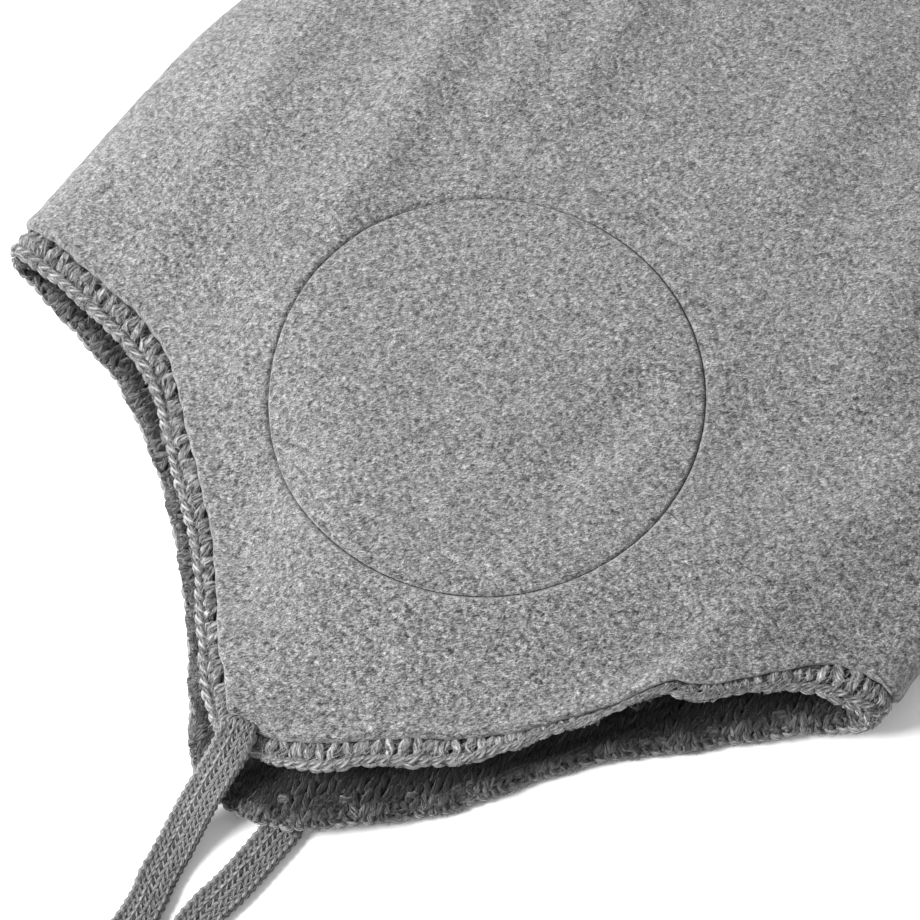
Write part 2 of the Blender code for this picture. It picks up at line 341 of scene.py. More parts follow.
# Depths of the bumps
FLEECE_BUMP = 0.0008
YARN_BUMP = 0.0004
SHEET_BUMP = 0.0011
SHEEN_ROUGHNESS = 0.45
# The inner and deep entries are darker copies of the knit yarn: painted shade inside the hat
YARN_LOOKS = {
    # darkest, lightest, mm in a turn of the plies, streaks round the yarn
    "tie_yarn": (0.025, 0.28, 9.0, 5.0),
    "knit_yarn": (0.03, 0.43, 14.0, 9.0),
    "knit_yarn_inner_painted_shade": (0.006, 0.125, 14.0, 9.0),
    "knit_yarn_deep_painted_shade": (0.002, 0.024, 14.0, 9.0),
}
# Near-black greys of the inside knit sheet: painted shade in the hat's hollow
SHEET_SHADE_GREYS = (0.0016, 0.02)

# Light and floor
WORLD_LIGHT = 0.66
KEY_POWER = 28.0
KEY_PLACE = (-0.82, -0.20, 0.80)
KEY_SIZE = 0.45
FLOOR_DROP = -0.0002
FLOOR_REACH = 3.0
FLOOR_POINTS = 9
FLOOR_GREYS = (0.93, 0.95)


# Tables and the hat's surface, worked on whole arrays of points

def smooth_column(table, column, place):
    """Values of a table's column at places along its first column, without overshoot."""
    xs, ys = table[:, 0], table[:, column]
    steps = np.diff(xs)
    slopes = np.diff(ys) / steps
    before, after = slopes[:-1], slopes[1:]
    product = before * after
    total = np.where(np.abs(before + after) < 1e-12, 1.0, before + after)
    bends = np.concatenate(([slopes[0]], np.where(product > 0, 2 * product / total, 0.0), [slopes[-1]]))
    place = np.clip(place, xs[0], xs[-1])
    k = np.clip(np.searchsorted(xs, place, side="right") - 1, 0, len(steps) - 1)
    t = (place - xs[k]) / steps[k]
    start = ys[k] * (1 + 2 * t) * (1 - t) ** 2 + bends[k] * steps[k] * t * (1 - t) ** 2
    end = ys[k + 1] * t * t * (3 - 2 * t) - bends[k + 1] * steps[k] * t * t * (1 - t)
    return start + end


def crown_share(up):
    return np.clip((up - CROWN_START) / (CROWN_REACH - CROWN_START), 0.0, 1.0)


def half_width(share, up):
    reach = np.where(share < 0, FRONT_REACH, BACK_REACH)
    rounding = (1 - crown_share(up) ** OUTLINE_POWER) ** (1 / OUTLINE_POWER)
    below = np.maximum(0.0, (CROWN_START - up) / FLAP_REACH)
    return reach * rounding * (1 - BROW_TAPER * below * below)


def section_share(share):
    return np.maximum(0.0, 1 - np.abs(share) ** SECTION_POWER) ** (1 / SECTION_POWER)


def rim_up(share, near):
    drop = np.where(near, smooth_column(RIM, 1, share), smooth_column(RIM, 2, share))
    return -FLAP_REACH * drop


def hem_rise(share):
    return HEM_WIDTH * smooth_column(RIM, 4, share)


def fold_rise(across, up):
    rise = np.zeros_like(across)
    for across_1, up_1, across_2, up_2, width, height in FOLDS:
        start = np.array((across_1 * FRONT_REACH, up_1 * CROWN_REACH))
        run = np.array((across_2 * FRONT_REACH, up_2 * CROWN_REACH)) - start
        dx, dy = across - start[0], up - start[1]
        along = np.clip((dx * run[0] + dy * run[1]) / (run @ run), 0.0, 1.0)
        away = np.hypot(dx - along * run[0], dy - along * run[1]) / (width * BODY_THICK)
        rise += height * BODY_THICK * np.exp(-away * away)
    return rise


def outer_face(share, up, near):
    """Points of the lining's outer face for shares of the half width and heights up the hat."""
    share, up = np.broadcast_arrays(np.asarray(share, float), np.asarray(up, float))
    near = np.broadcast_to(near, share.shape)
    across = share * half_width(share, up)
    above_rim = np.maximum(0.0, up - rim_up(share, near))
    section = section_share(share)
    height_share = section * (1 - crown_share(up) ** CROWN_POWER) ** (1 / CROWN_POWER)
    roll = np.maximum(0.0, 1 - above_rim / HEM_WIDTH) ** 2 * section
    top = BODY_THICK * smooth_column(TOP, 1, up / CROWN_REACH) - FOLD_HEIGHT
    sag = 0.5 + 0.5 * np.cos(math.pi * np.minimum(1.0, above_rim / SAG_REACH))
    rise = top * height_share * (1 - sag * (1 - smooth_column(RIM, 3, share)))
    rise = rise + fold_rise(across, up) * height_share
    upper = FOLD_HEIGHT + rise - HEM_ROLL * roll
    flat = np.minimum(1.0, LOWER_FLATNESS * height_share)
    away = np.hypot(across - TIE_LIFT_PLACE[0], up - TIE_LIFT_PLACE[1]) / TIE_LIFT_WIDTH
    tie_room = (TIE_THICK + 2 * LAYER_GAP) * np.exp(-away ** 4)
    lower = FOLD_HEIGHT * (1 - flat) + tie_room + FAR_HEM_ROLL * roll
    return np.stack((across, up, np.where(near, upper, lower)), axis=-1)


def unit(vectors):
    return vectors / np.maximum(np.linalg.norm(vectors, axis=-1, keepdims=True), 1e-12)


def distances(points):
    """Distances along a line of points to each of them."""
    return np.concatenate(([0.0], np.cumsum(np.linalg.norm(np.diff(points, axis=0), axis=1))))


def along_line(points, reach, wanted):
    """Places at wanted distances along a line of points."""
    return np.stack([np.interp(wanted, reach, points[:, k]) for k in range(points.shape[1])], axis=-1)


def round_steps(points):
    """Steps from the point before to the one after, round a closed row."""
    return np.roll(points, -1, axis=0) - np.roll(points, 1, axis=0)


def to_frame(points):
    """From the middle of the ear to the frame."""
    return points + np.array((EAR_MIDDLE.x, EAR_MIDDLE.y, 0.0))


# Meshes

def grid_faces(rows, columns, closed):
    """Quads of a grid of points kept row by row; closed joins the last column to the first."""
    across = columns if closed else columns - 1
    i, j = np.meshgrid(np.arange(rows - 1), np.arange(across), indexing="ij")
    k = (j + 1) % columns
    a, b = i * columns + j, i * columns + k
    return np.stack((a, b, b + columns, a + columns), axis=-1).reshape(-1, 4)


def add_object(name, data):
    item = bpy.data.objects.new(name, data)
    bpy.context.scene.collection.objects.link(item)
    return item


def ray_quads(index, flip=False):
    """Quads between neighbouring rays of point numbers, all the way round."""
    after = np.roll(index, -1, axis=0)
    a, b, c, d = index[:, :-1], index[:, 1:], after[:, 1:], after[:, :-1]
    order = (a, d, c, b) if flip else (a, b, c, d)
    return np.stack(order, axis=-1).reshape(-1, 4)


def make_piece(name, points, faces, materials, uvs=None, choice=None):
    """Smooth mesh object, pressed flat where it would sink below what the hat lies on."""
    mesh = bpy.data.meshes.new(name)
    points = to_frame(points)
    points[:, 2] = np.maximum(points[:, 2], 0.0)
    mesh.from_pydata(points.tolist(), [], faces)
    mesh.shade_smooth()
    for material in materials:
        mesh.materials.append(material)
    if uvs is not None:
        layer = mesh.uv_layers.new(name="yarn")
        layer.data.foreach_set("uv", uvs.astype(np.float32).ravel())
    if choice is not None:
        mesh.polygons.foreach_set("material_index", choice.astype(np.int32))
    piece = add_object(name, mesh)
    return piece


def join_parts(parts):
    """Points, quads, UVs and material numbers of several parts, one after the other."""
    tables, materials = zip(*parts)
    points, quads, uvs = zip(*tables)
    starts = np.cumsum([0] + [len(part) for part in points])
    choice = np.repeat(materials, [len(part) for part in quads])
    quads = np.concatenate([part + start for part, start in zip(quads, starts)])
    return np.concatenate(points), quads, np.concatenate(uvs), choice


def mesh_normals(points, quads):
    """Unit normals of a quad mesh's points."""
    a, b, c, d = (points[quads[:, i]] for i in range(4))
    face = np.cross(c - a, d - b)
    total = np.zeros_like(points)
    for i in range(4):
        np.add.at(total, quads[:, i], face)
    return unit(total)


def tube(path, facing, radius, sides, closed):
    """Tube along a path; facing points to the side that shows. UVs: mm along, share round."""
    rows = len(path)
    mode = "wrap" if closed else "clip"
    ahead = path.take(np.arange(1, rows + 1), axis=0, mode=mode)
    behind = path.take(np.arange(-1, rows - 1), axis=0, mode=mode)
    along = unit(ahead - behind)
    side = unit(np.cross(along, facing))
    front = np.cross(side, along)
    turn = np.arange(sides) * 2 * math.pi / sides + math.pi
    radius = np.broadcast_to(radius, (rows,))
    ring = np.cos(turn)[:, None] * front[:, None] + np.sin(turn)[:, None] * side[:, None]
    points = path[:, None] + radius[:, None, None] * ring
    stretch = rows if closed else rows - 1
    i, j = np.meshgrid(np.arange(stretch), np.arange(sides), indexing="ij")
    i2, j2 = (i + 1) % rows, (j + 1) % sides
    quads = np.stack((i * sides + j, i2 * sides + j, i2 * sides + j2, i * sides + j2), axis=-1)
    steps = np.linalg.norm(ahead - path, axis=1)
    reach = np.concatenate(([0.0], np.cumsum(steps))) * 1000
    u1, u2 = reach[i], reach[i + 1]
    v1, v2 = j / sides, (j + 1) / sides
    uvs = np.stack((u1, v1, u2, v1, u2, v2, u1, v2), axis=-1)
    return points.reshape(-1, 3), quads.reshape(-1, 4), uvs.reshape(-1, 2)


def smooth_route(route, count):
    """Evenly spaced points on a smooth curve through the route's points."""
    places = np.array(route)
    ends = np.concatenate(([2 * places[0] - places[1]], places, [2 * places[-1] - places[-2]]))
    t = (np.arange(ROUTE_STEPS) / ROUTE_STEPS)[:, None]
    fine = [0.5 * (2 * b + (c - a) * t + (2 * a - 5 * b + 4 * c - d) * t ** 2
                   + (3 * b - 3 * c + d - a) * t ** 3)
            for a, b, c, d in zip(ends, ends[1:], ends[2:], ends[3:])]
    fine = np.concatenate(fine + [places[-1:]])
    reach = distances(fine)
    return along_line(fine, reach, np.linspace(0.0, reach[-1], count))


def noise_at(points, wave, seed):
    """Smooth noise from about -1 to 1 at points, with a given wavelength in metres."""
    scale = 1.0 / wave
    return np.array([noise.noise(Vector((x * scale + seed, y * scale, z * scale)))
                     for x, y, z in points.tolist()])


# Materials

def new_material(name):
    material = bpy.data.materials.new(name)
    material.use_nodes = True
    tree = material.node_tree
    return material, tree, tree.nodes["Principled BSDF"]


def add_node(tree, kind, inputs=None, **settings):
    """Node of a kind, with settings by name and inputs by name or number."""
    node = tree.nodes.new("ShaderNode" + kind)
    for key, value in settings.items():
        setattr(node, key, value)
    for key, value in (inputs or {}).items():
        if isinstance(value, bpy.types.NodeSocket):
            tree.links.new(value, node.inputs[key])
        else:
            node.inputs[key].default_value = value
    return node


def math_node(tree, operation, a, b=0.0):
    return add_node(tree, "Math", {0: a, 1: b}, operation=operation).outputs[0]


def vector_node(tree, operation, inputs):
    return add_node(tree, "VectorMath", inputs, operation=operation).outputs[0]


def times(tree, a, b):
    return math_node(tree, "MULTIPLY", a, b)


def blend(tree, a, share_a, b, share_b):
    """Sum of two values, each times its share."""
    return math_node(tree, "ADD", times(tree, a, share_a), times(tree, b, share_b))


def noise_node(tree, vector, scale, detail, roughness):
    inputs = {"Vector": vector, "Scale": scale, "Detail": detail, "Roughness": roughness}
    return add_node(tree, "TexNoise", inputs).outputs["Fac"]


def spread(tree, value, low, high, dark, light):
    """Maps a value from low..high to dark..light, held at the ends."""
    inputs = {"Value": value, "From Min": low, "From Max": high, "To Min": dark, "To Max": light}
    return add_node(tree, "MapRange", inputs).outputs[0]


def object_place(tree):
    return add_node(tree, "TexCoord").outputs["Object"]


def yarn_place(tree):
    """The two parts of a place in the yarn's UVs."""
    uv = add_node(tree, "UVMap", uv_map="yarn").outputs[0]
    return add_node(tree, "SeparateXYZ", {0: uv}).outputs[:2]


def paint(tree, shader, tone, roughness):
    """Gives a shader a grey of a brightness, and how rough it is."""
    tree.links.new(vector_node(tree, "MULTIPLY", {0: tone, 1: TINT}), shader.inputs["Base Color"])
    shader.inputs["Roughness"].default_value = roughness


def roughen(tree, shader, height, depth):
    bump = add_node(tree, "Bump", {"Strength": 1.0, "Distance": depth, "Height": height})
    tree.links.new(bump.outputs[0], shader.inputs["Normal"])


def add_sheen(shader, gloss, sheen):
    """Weak gloss and soft sheen, as of short fibres."""
    shader.inputs["Specular IOR Level"].default_value = gloss
    shader.inputs["Sheen Weight"].default_value = sheen
    shader.inputs["Sheen Roughness"].default_value = SHEEN_ROUGHNESS


def fibre_noise(tree, place, turn, length, width):
    """Short fibres that lie one way on the whole and stray from it; turned in the sheet."""
    inputs = {"Vector": place, "Rotation": (0.0, 0.0, -VIEW_TURN - math.radians(turn))}
    turned = add_node(tree, "Mapping", inputs).outputs[0]
    inputs = {"Vector": turned, "Scale": FIBRE_WAVER_SCALE, "Detail": 1.0}
    stray = add_node(tree, "TexNoise", inputs).outputs["Color"]
    stray = vector_node(tree, "SUBTRACT", {0: stray, 1: (0.5, 0.5, 0.5)})
    stray = vector_node(tree, "SCALE", {0: stray, "Scale": FIBRE_WAVER})
    bent = vector_node(tree, "ADD", {0: turned, 1: stray})
    inputs = {"Vector": bent, "Scale": (1.0 / length, 1.0 / width, 1.0 / width)}
    return noise_node(tree, add_node(tree, "Mapping", inputs).outputs[0], 1.0, 3.0, 0.75)


def fleece_material(name):
    """Short brushed pile: fibres two ways, a fine grain, tufts, and faint clouds."""
    material, tree, shader = new_material(name)
    place = object_place(tree)
    flat = fibre_noise(tree, place, *FLAT_FIBRES)
    steep = fibre_noise(tree, place, *STEEP_FIBRES)
    grain = fibre_noise(tree, place, *GRAIN_FIBRES)
    tufts = noise_node(tree, place, TUFT_SCALE, 2.0, 0.6)
    clouds = noise_node(tree, place, CLOUD_SCALE, 3.0, 0.6)
    height = blend(tree, blend(tree, flat, 0.62, steep, 0.38), 1.3, tufts, 0.8)
    tone = spread(tree, height, 0.82, 1.28, *FLEECE_GREYS)
    tone = times(tree, tone, spread(tree, grain, 0.33, 0.67, *GRAIN_CONTRAST))
    tone = times(tree, tone, spread(tree, clouds, 0.3, 0.7, *CLOUD_CONTRAST))
    roughen(tree, shader, height, FLEECE_BUMP)
    paint(tree, shader, tone, 0.95)
    add_sheen(shader, 0.2, 0.35)
    return material


def yarn_material(name):
    """Loose yarn of two plies, darkened towards its sides with painted shade. UV x is mm along it, UV y
    the share round it, half-way in front.
    """
    dark, light, pitch, streaks = YARN_LOOKS[name]
    material, tree, shader = new_material(name)
    along, share = yarn_place(tree)
    turned = math_node(tree, "ADD", share, math_node(tree, "DIVIDE", along, pitch))
    wave = math_node(tree, "COSINE", times(tree, turned, 4 * math.pi))
    ply = math_node(tree, "ADD", times(tree, wave, 0.5), 0.5)
    inputs = {0: times(tree, along, 0.45), 1: times(tree, turned, streaks)}
    lay = add_node(tree, "CombineXYZ", inputs).outputs[0]
    fibres = spread(tree, noise_node(tree, lay, 1.0, 3.0, 0.7), 0.40, 0.60, 0.0, 1.0)
    heather = noise_node(tree, object_place(tree), HEATHER_SCALE, 3.0, 0.6)
    # Painted shade: the yarn darkens from its front towards its sides, where it meets the next stitch
    aside = math_node(tree, "ABSOLUTE", math_node(tree, "SUBTRACT", share, 0.5))
    shade = spread(tree, aside, 0.14, 0.40, 1.0, YARN_SIDE_SHADE)
    tone = times(tree, spread(tree, fibres, 0.0, 1.0, dark, light), shade)
    tone = times(tree, tone, spread(tree, heather, 0.3, 0.7, *HEATHER_CONTRAST))
    roughen(tree, shader, blend(tree, ply, 0.15, fibres, 0.9), YARN_BUMP)
    paint(tree, shader, tone, 0.85)
    add_sheen(shader, 0.25, 0.25)
    return material


def knit_sheet_material(name):
    """Knit of the deep inside, nearly black with painted shade and darker between its stitches: UV x
    counts wales, UV y courses.
    """
    material, tree, shader = new_material(name)
    wales, courses = yarn_place(tree)
    across = math_node(tree, "SUBTRACT", math_node(tree, "FRACT", wales), 0.5)
    lean = times(tree, math_node(tree, "ABSOLUTE", across), 1.1)
    row = math_node(tree, "FRACT", math_node(tree, "SUBTRACT", courses, lean))
    leg = math_node(tree, "SINE", times(tree, row, math.pi))
    wale = math_node(tree, "ABSOLUTE", math_node(tree, "SINE", times(tree, across, 2 * math.pi)))
    body = math_node(tree, "POWER", times(tree, leg, wale), 0.5)
    fibres = noise_node(tree, object_place(tree), SHEET_FIBRE_SCALE, 3.0, 0.6)
    height = math_node(tree, "ADD", body, times(tree, fibres, 0.35))
    roughen(tree, shader, height, SHEET_BUMP)
    paint(tree, shader, spread(tree, height, 0.2, 1.2, *SHEET_SHADE_GREYS), 0.9)
    return material


def floor_material():
    material, tree, shader = new_material("floor_paint")
    grain = noise_node(tree, object_place(tree), FLOOR_SCALE, 4.0, 0.5)
    paint(tree, shader, spread(tree, grain, 0.3, 0.7, *FLOOR_GREYS), 0.8)
    return material


# Camera, light and floor

def set_camera():
    look = VIEW_AWAY * math.cos(VIEW_RISE) - UPWARD * math.sin(VIEW_RISE)
    data = bpy.data.cameras.new("camera")
    data.sensor_width = SENSOR
    data.lens = SENSOR * VIEW_DISTANCE / FIELD_WIDTH
    data.clip_start = 0.01
    camera = add_object("camera", data)
    camera.location = to_frame(np.array(AIM) - look * VIEW_DISTANCE).tolist()
    camera.rotation_euler = Vector(look).to_track_quat("-Z", "Y").to_euler()
    bpy.context.scene.camera = camera


def set_key_light():
    """Soft lamp, placed to the view's right, away and up."""
    side, ahead, up = KEY_PLACE
    data = bpy.data.lights.new("key", "AREA")
    data.size = KEY_SIZE
    data.energy = KEY_POWER
    lamp = add_object("key", data)
    place = VIEW_RIGHT * side + VIEW_AWAY * ahead + UPWARD * up
    lamp.location = to_frame(place).tolist()
    lamp.rotation_euler = Vector((-place).tolist()).to_track_quat("-Z", "Y").to_euler()


def set_light():
    world = bpy.data.worlds.new("studio")
    world.use_nodes = True
    background = world.node_tree.nodes["Background"]
    background.inputs["Color"].default_value = (1.0, 1.0, 1.0, 1.0)
    background.inputs["Strength"].default_value = WORLD_LIGHT
    bpy.context.scene.world = world
    set_key_light()
    bpy.context.scene.view_settings.view_transform = "Standard"


def make_floor():
    steps = np.linspace(-FLOOR_REACH, FLOOR_REACH, FLOOR_POINTS)
    x, y = np.meshgrid(steps, steps)
    points = np.stack((x.ravel(), y.ravel(), np.full(x.size, FLOOR_DROP)), axis=-1)
    mesh = bpy.data.meshes.new("floor")
    mesh.from_pydata(points.tolist(), [], grid_faces(FLOOR_POINTS, FLOOR_POINTS, False).tolist())
    mesh.materials.append(floor_material())
    add_object("floor", mesh)


# Ties

def tie_section(place):
    """Points and outward directions round a flat rounded strip, for shares of the way round."""
    flat, radius = TIE_WIDTH - TIE_THICK, TIE_THICK / 2
    ends = np.cumsum((0.0, flat, math.pi * radius, flat, math.pi * radius))
    s = (place % 1.0) * ends[-1]
    middle = np.interp(s, ends, (-flat / 2, flat / 2, flat / 2, -flat / 2, -flat / 2))
    turn = np.interp(s, ends, (0.0, 0.0, math.pi, math.pi, 2 * math.pi))
    out = np.stack((np.sin(turn), np.cos(turn)), axis=-1)
    return np.stack((middle, np.zeros_like(middle)), axis=-1) + radius * out, out


def tie_line(route, root_dip):
    """A tie's middle line with the distance to each point, and its directions along, across, up."""
    line = smooth_route(route, ROUTE_POINTS)
    reach = distances(line)
    line[:, 2] -= root_dip * np.exp(-reach / ROOT_DIP_REACH)
    along = unit(np.gradient(line, axis=0))
    across = unit(np.cross(along, UPWARD))
    return reach, (line, along, across, np.cross(across, along))


def on_tie(reach, axes, s, place, lift, shrink):
    """Points and outward directions at distances along a tie and shares of the way round it."""
    line, along, across, above = (along_line(table, reach, s) for table in axes)
    edge, out = tie_section(place)
    flat = (edge + out * lift[:, None]) * shrink[:, None]
    beyond = np.clip(s, 0.0, reach[-1]) - s
    middle = line - beyond[:, None] * along
    points = middle + across * flat[:, :1] + above * flat[:, 1:]
    return points, unit(across * out[:, :1] + above * out[:, 1:])


def tie_core(reach, axes):
    """Plain core that closes the gaps between a tie's stitches."""
    ring = np.arange(TIE_CORE_SIDES) / TIE_CORE_SIDES
    core_s = np.linspace(0.0, reach[-1], TIE_CORE_ROWS)
    s, place = (a.ravel() for a in np.meshgrid(core_s, ring, indexing="ij"))
    points = on_tie(reach, axes, s, place, np.full(len(s), -TIE_CORE_SINK), np.ones(len(s)))[0]
    quads = grid_faces(TIE_CORE_ROWS, TIE_CORE_SIDES, True)
    uvs = np.stack((s[quads] * 1000, place[quads] * 10), axis=-1).reshape(-1, 2)
    return points, quads, uvs


def make_tie(name, route, root_dip, yarn, rng):
    """Flat knitted cord: rings of stitches round a strip, and a plain core inside."""
    reach, axes = tie_line(route, root_dip)
    courses = int(reach[-1] / TIE_COURSE)
    turn = np.arange(TIE_WALES * TIE_SAMPLES) * 2 * math.pi / TIE_SAMPLES
    parts = []
    for course in range(courses + 1):
        jitter = rng.normal(0.0, 1.0, (3, TIE_WALES)).repeat(TIE_SAMPLES, axis=1)
        middle = course * TIE_COURSE + TIE_JITTER * jitter[0]
        s = middle + TIE_COURSE * TIE_REACH * np.cos(turn)
        wale = turn / (2 * math.pi) + TIE_LEAN * np.sin(2 * turn) + TIE_PLACE_JITTER * jitter[1]
        lift = -TIE_YARN_RADIUS - TIE_DEPTH * (1 + np.cos(2 * turn)) + TIE_LIFT_JITTER * jitter[2]
        from_end = np.minimum(courses - course, course + 2)
        shrink = np.full(len(s), min(1.0, TIE_END_SHARE + TIE_END_STEP * from_end))
        path, facing = on_tie(reach, axes, s, wale / TIE_WALES, lift, shrink)
        parts.append((tube(path, facing, TIE_YARN_RADIUS, TIE_SIDES, True), 0))
    parts.append((tie_core(reach, axes), 0))
    points, quads, uvs, choice = join_parts(parts)
    tie = make_piece(name, points, quads.tolist(), [yarn], uvs, choice)
    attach(tie, "root")
    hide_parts(name.replace("_cord", ""))
    path = to_frame(smooth_route(route, CORD_POINTS))


# Fleece

def arc_table():
    """Shares of the half width and the distance along the section to each, as a share of it."""
    angle = np.linspace(0.0, math.pi / 2, ARC_SAMPLES)
    share = np.sin(angle)
    aspect = (BODY_THICK - FOLD_HEIGHT) / FRONT_REACH
    height = aspect * section_share(share)
    steps = np.hypot(np.diff(share), np.diff(height))
    return share, np.concatenate(([0.0], np.cumsum(steps)))


ARC_SHARE, ARC_REACH = arc_table()


def to_arc(share):
    """Distance along the section to a share of the half width."""
    return np.sign(share) * np.interp(np.abs(share), ARC_SHARE, ARC_REACH)


def from_arc(arc):
    return np.sign(arc) * np.interp(np.abs(arc), ARC_REACH, ARC_SHARE)


def all_round(count):
    """Places at even distances round a section: shares of the half width, and which are near."""
    side = from_arc(np.linspace(-ARC_REACH[-1], ARC_REACH[-1], count))
    share = np.concatenate((side, side[::-1][1:-1]))
    return share, np.arange(len(share)) < count


def evenly(points, count):
    """Points spaced evenly along a line of points, without the last one."""
    reach = distances(points)
    return along_line(points, reach, np.arange(count) / count * reach[-1])


def cut_up(share, near):
    """Height up the hat of the fleece's cut edge."""
    wobble = sum(np.sin(rate * share + phase) for rate, phase in EDGE_WAVES)
    return rim_up(share, near) + hem_rise(share) + SEAM_GAP + EDGE_WOBBLE * wobble


def from_cut(share, up, near):
    """Distance of places on the lining from its cut edge."""
    before, after = np.clip(share - CUT_STEP, -1.0, 1.0), np.clip(share + CUT_STEP, -1.0, 1.0)
    rise = cut_up(after, near) - cut_up(before, near)
    run = (after - before) * half_width(share, up)
    return np.maximum(0.0, up - cut_up(share, near)) / np.sqrt(1 + (rise / np.maximum(run, 1e-5)) ** 2)


def face_normals(arc, up, near):
    """Outward directions of the lining's face, from its own surface."""
    right = outer_face(from_arc(np.minimum(arc + NORMAL_STEP, ARC_REACH[-1])), up, near)
    left = outer_face(from_arc(np.maximum(arc - NORMAL_STEP, -ARC_REACH[-1])), up, near)
    share = from_arc(arc)
    above = outer_face(share, np.minimum(up + NORMAL_RISE, CROWN_END), near)
    below = outer_face(share, up - NORMAL_RISE, near)
    return unit(np.cross(right - left, above - below)) * (1 if near else -1)


def sheet_edge(near):
    """Outline of the lining's one side laid flat: the cut edge, the back fold, the front fold."""
    share = from_arc(np.linspace(-ARC_REACH[-1], ARC_REACH[-1], EDGE_SAMPLES))
    up = cut_up(share, near)
    edge = np.stack((to_arc(share) * half_width(share, up), up), axis=-1)
    sides = []
    for sign in (1.0, -1.0):
        end = edge[-1] if sign > 0 else edge[0]
        turn = np.linspace(0.0, math.pi / 2, FOLD_SAMPLES)
        height = end[1] + (CROWN_REACH - end[1]) * np.sin(turn)
        sides.append(np.stack((sign * ARC_REACH[-1] * half_width(sign, height), height), axis=-1))
    return np.concatenate((evenly(edge, EDGE_RAYS), evenly(sides[0], FOLD_RAYS),
                           evenly(sides[1][::-1], FOLD_RAYS)))


def seam_dip(away):
    """Depth of the narrow sewn groove at a distance from its line."""
    return SEAM_DEPTH * np.exp(-(away / SEAM_HALF) ** 1.5)


def cloth_lift(points):
    """Soft unevenness of the fleece."""
    return sum(height * noise_at(points, wave, seed) for height, wave, seed in CLOTH_WAVES)


def lining_side(near, rows):
    """Rays of points from the ear patch's seam to the outline, distances to both, and normals."""
    outline = sheet_edge(near)
    start = PATCH_SHIFT + PATCH_RADIUS * unit(outline - PATCH_SHIFT)
    length = np.linalg.norm(outline - start, axis=1)
    first, last = np.array(SEAM_STEPS), np.array(EDGE_STEPS)
    middle = rows - len(first) - len(last)
    share = (np.arange(middle) + 0.5) / middle
    away = np.concatenate((np.broadcast_to(first, (len(length), len(first))),
                           first[-1] + share * (length[:, None] - first[-1] - last[-1]),
                           length[:, None] - last[::-1]), axis=1)
    flat = start[:, None] + unit(outline - start)[:, None] * away[:, :, None]
    up = np.minimum(flat[..., 1], CROWN_END)
    reach = half_width(np.sign(flat[..., 0]), up)
    arc = np.clip(flat[..., 0] / np.maximum(reach, 1e-9), -ARC_REACH[-1], ARC_REACH[-1])
    share = from_arc(arc)
    return outer_face(share, up, near), away, from_cut(share, up, near), face_normals(arc, up, near)


def make_lining(fleece):
    """The whole lining: the upper side, and the lower side joined to it along the folds."""
    upper, lower = lining_side(True, UPPER_ROWS), lining_side(False, LOWER_ROWS)
    rays = EDGE_RAYS + 2 * FOLD_RAYS
    cut = np.arange(rays) < EDGE_RAYS
    cut[0] = cut[EDGE_RAYS - 1] = True
    top = np.arange(rays * UPPER_ROWS).reshape(rays, UPPER_ROWS)
    bottom = rays * UPPER_ROWS + np.arange(rays * LOWER_ROWS).reshape(rays, LOWER_ROWS)
    joined = bottom.copy()
    joined[~cut, -1] = top[~cut, -1]
    quads = np.concatenate((ray_quads(top), ray_quads(joined, True)))
    used, place = np.unique(quads, return_inverse=True)
    quads = place.reshape(-1, 4)
    points, seam, edge, normals = (
        np.concatenate([table.reshape(-1, *table.shape[2:]) for table in pair])[used]
        for pair in zip(upper, lower))
    rolled = np.maximum(0.0, 1 - edge / EDGE_ROUND)
    lift = cloth_lift(points) - seam_dip(seam)
    lift += EDGE_PUFF * np.exp(-((edge - EDGE_ROUND) / EDGE_PUFF_REACH) ** 2)
    lift -= FLEECE_WALL * (1 - np.sqrt(1 - rolled ** 2))
    piece = make_piece("lining", points + normals * lift[:, None], quads.tolist(), [fleece])
    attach(piece, "root")
    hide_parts("fleece_lining")


def make_patch(side, fleece, rings, spokes):
    """Round patch over the ear, slightly padded inside its seam."""
    near = side == "upper"
    share = np.sin(np.linspace(0.0, math.pi / 2, rings))
    share = 0.5 * share + 0.5 * np.linspace(0.0, 1.0, rings)
    radius = (PATCH_RADIUS - PATCH_CLEAR) * share
    angle = np.arange(spokes) * 2 * math.pi / spokes
    across = np.append(radius[1:, None] * np.cos(angle), 0.0)
    up = np.append(radius[1:, None] * np.sin(angle), 0.0)
    away = PATCH_RADIUS - np.hypot(across, up)
    across, up = across + PATCH_SHIFT[0], up + PATCH_SHIFT[1]
    points = outer_face(across / half_width(across, up), up, near)
    quads = grid_faces(rings - 1, spokes, True)[:, [0, 3, 2, 1] if near else [3, 0, 1, 2]]
    normals = mesh_normals(points, quads)
    normals[-1] = (0.0, 0.0, 1.0 if near else -1.0)
    lift = cloth_lift(points) - seam_dip(away) + PATCH_PUFF * (1 - np.exp(-away / PATCH_PUFF_REACH))
    points = points + normals * lift[:, None]
    hub = len(points) - 1
    first = np.arange(spokes)
    fan = np.stack((np.roll(first, -1), first, np.full(spokes, hub)), axis=-1)
    if near:
        fan = fan[:, ::-1]
    patch = make_piece("patch_" + side, points, quads.tolist() + fan.tolist(), [fleece])
    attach(patch, "root")
    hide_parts("ear_patch_" + side)


# Knit

